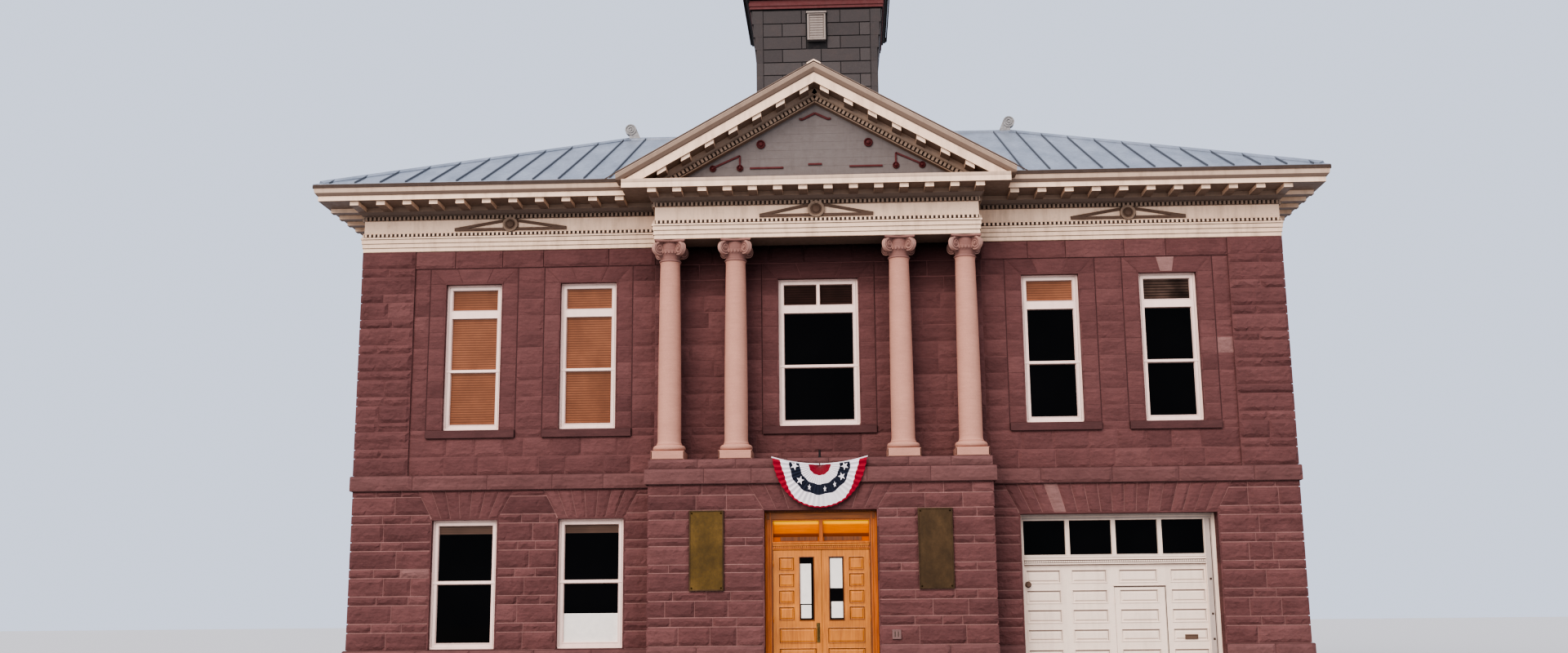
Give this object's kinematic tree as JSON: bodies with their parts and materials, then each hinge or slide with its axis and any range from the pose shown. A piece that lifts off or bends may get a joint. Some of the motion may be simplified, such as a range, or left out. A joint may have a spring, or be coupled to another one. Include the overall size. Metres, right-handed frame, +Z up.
{
  "type": "town hall building",
  "caption": "Two-storey red sandstone town hall with Ionic portico, pediment, hip roof, belfry tower, hinged double entrance door and wicket in the garage door.",
  "frame": {"origin": "on the underside of the ground floor, at ground level, under the middle of the roof ridge", "axes": "+Z up, the entrance front faces -Y, +X to the right seen from the front"},
  "size_m": [20.44, 11.801, 19.36],
  "materials": {
    "back_wall": "matt",
    "base_course": "matt",
    "belfry": "satin",
    "belt_course": "matt",
    "bunting": "matt",
    "column_capitals": "matt",
    "columns": "matt",
    "cornice_brackets": "satin",
    "door_frame": "varnished",
    "door_pull": "aged",
    "door_sills": "matt",
    "end_entablatures": "satin",
    "entrance_lintel": "matt",
    "entrance_piers": "matt",
    "entrance_plaques": "aged",
    "flag_bracket": "matt",
    "front_wall_centre": "matt",
    "front_wall_left": "matt",
    "front_wall_right": "matt",
    "garage_door": "satin",
    "garage_frame": "satin",
    "garage_piers": "matt",
    "ground_floor": "matt",
    "left_door_glass": "gloss",
    "left_door_leaf": "varnished",
    "left_wall": "matt",
    "long_entablatures": "satin",
    "lower_window_frames": "satin",
    "lower_window_glass": "gloss",
    "pediment_brackets": "satin",
    "pediment_roof": "satin",
    "portico_entablature": "satin",
    "portico_ledge": "matt",
    "raking_cornices": "satin",
    "ridge_finials": "satin",
    "right_door_glass": "gloss",
    "right_door_leaf": "varnished",
    "right_wall": "matt",
    "roof_back": "satin",
    "roof_caps": "satin",
    "roof_ends": "satin",
    "roof_front": "satin",
    "tower_cornice": "satin",
    "tower_finial": "aged",
    "tower_roof": "satin",
    "tower_vent": "satin",
    "tower_walls": "matt",
    "transom_glass": "gloss",
    "tympanum": "satin",
    "upper_floor": "satin",
    "upper_window_frames": "satin",
    "upper_window_glass": "gloss",
    "wicket_door": "satin",
    "window_sills": "matt"
  },
  "bodies": {
    "building": {"back_wall": "back_wall", "base_course": "base_course", "belfry": "belfry", "belt_course": "belt_course", "bunting": "bunting", "column_capitals": "column_capitals", "columns": "columns", "cornice_brackets": "cornice_brackets", "door_frame": "door_frame", "door_sills": "door_sills", "end_entablatures": "end_entablatures", "entrance_lintel": "entrance_lintel", "entrance_piers": "entrance_piers", "entrance_plaques": "entrance_plaques", "flag_bracket": "flag_bracket", "front_wall_centre": "front_wall_centre", "front_wall_left": "front_wall_left", "front_wall_right": "front_wall_right", "garage_door": "garage_door", "garage_frame": "garage_frame", "garage_piers": "garage_piers", "ground_floor": "ground_floor", "left_wall": "left_wall", "long_entablatures": "long_entablatures", "lower_window_frames": "lower_window_frames", "lower_window_glass": "lower_window_glass", "pediment_brackets": "pediment_brackets", "pediment_roof": "pediment_roof", "portico_entablature": "portico_entablature", "portico_ledge": "portico_ledge", "raking_cornices": "raking_cornices", "ridge_finials": "ridge_finials", "right_wall": "right_wall", "roof_back": "roof_back", "roof_caps": "roof_caps", "roof_ends": "roof_ends", "roof_front": "roof_front", "tower_cornice": "tower_cornice", "tower_finial": "tower_finial", "tower_roof": "tower_roof", "tower_vent": "tower_vent", "tower_walls": "tower_walls", "transom_glass": "transom_glass", "tympanum": "tympanum", "upper_floor": "upper_floor", "upper_window_frames": "upper_window_frames", "upper_window_glass": "upper_window_glass", "window_sills": "window_sills"},
    "left_leaf": {"left_door_leaf": "left_door_leaf", "left_door_glass": "left_door_glass", "door_pull": "door_pull"},
    "right_leaf": {"right_door_leaf": "right_door_leaf", "right_door_glass": "right_door_glass"},
    "wicket": {"wicket_door": "wicket_door"}
  },
  "joints": [
    {"name": "left_door_hinge", "type": "hinge", "parent": "building", "child": "left_leaf", "pos_m": [-0.9305, -5.359, 0.158], "axis": [0, 0, -1], "range_deg": [0, 90]},
    {"name": "right_door_hinge", "type": "hinge", "parent": "building", "child": "right_leaf", "pos_m": [0.9305, -5.359, 0.158], "axis": [0, 0, 1], "range_deg": [0, 90]},
    {"name": "wicket_hinge", "type": "hinge", "parent": "building", "child": "wicket", "pos_m": [5.7285, -4.469, 0.2], "axis": [0, 0, -1], "range_deg": [0, 90]}
  ]
}
